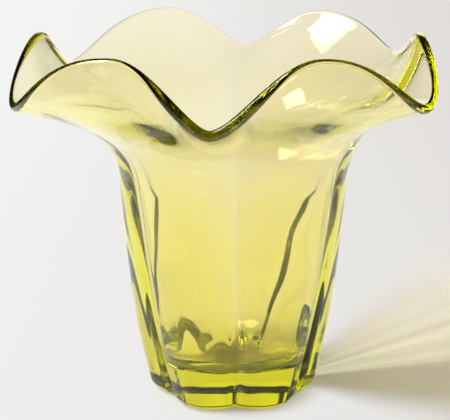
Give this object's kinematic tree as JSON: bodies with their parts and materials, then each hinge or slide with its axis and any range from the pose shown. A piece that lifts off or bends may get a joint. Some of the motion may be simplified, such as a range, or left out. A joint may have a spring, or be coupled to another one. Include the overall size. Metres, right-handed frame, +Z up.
{
  "type": "crimped glass vase",
  "caption": "Pressed glass vase with a lobed tapered body, a thick solid base and a wide flared rim crimped into waves, for holding cut flowers and water.",
  "frame": {"origin": "middle of the flat underside, on the axis of the body", "axes": "+Z up along the axis of the body, -Y towards the front, where a low wave of the rim stands, +X to the right seen from the front"},
  "size_m": [0.1407, 0.1531, 0.1287],
  "materials": {
    "glass": "smooth fire-polished transparent yellow-green glass"
  },
  "bodies": {
    "root": {"vase": "glass"}
  },
  "joints": []
}
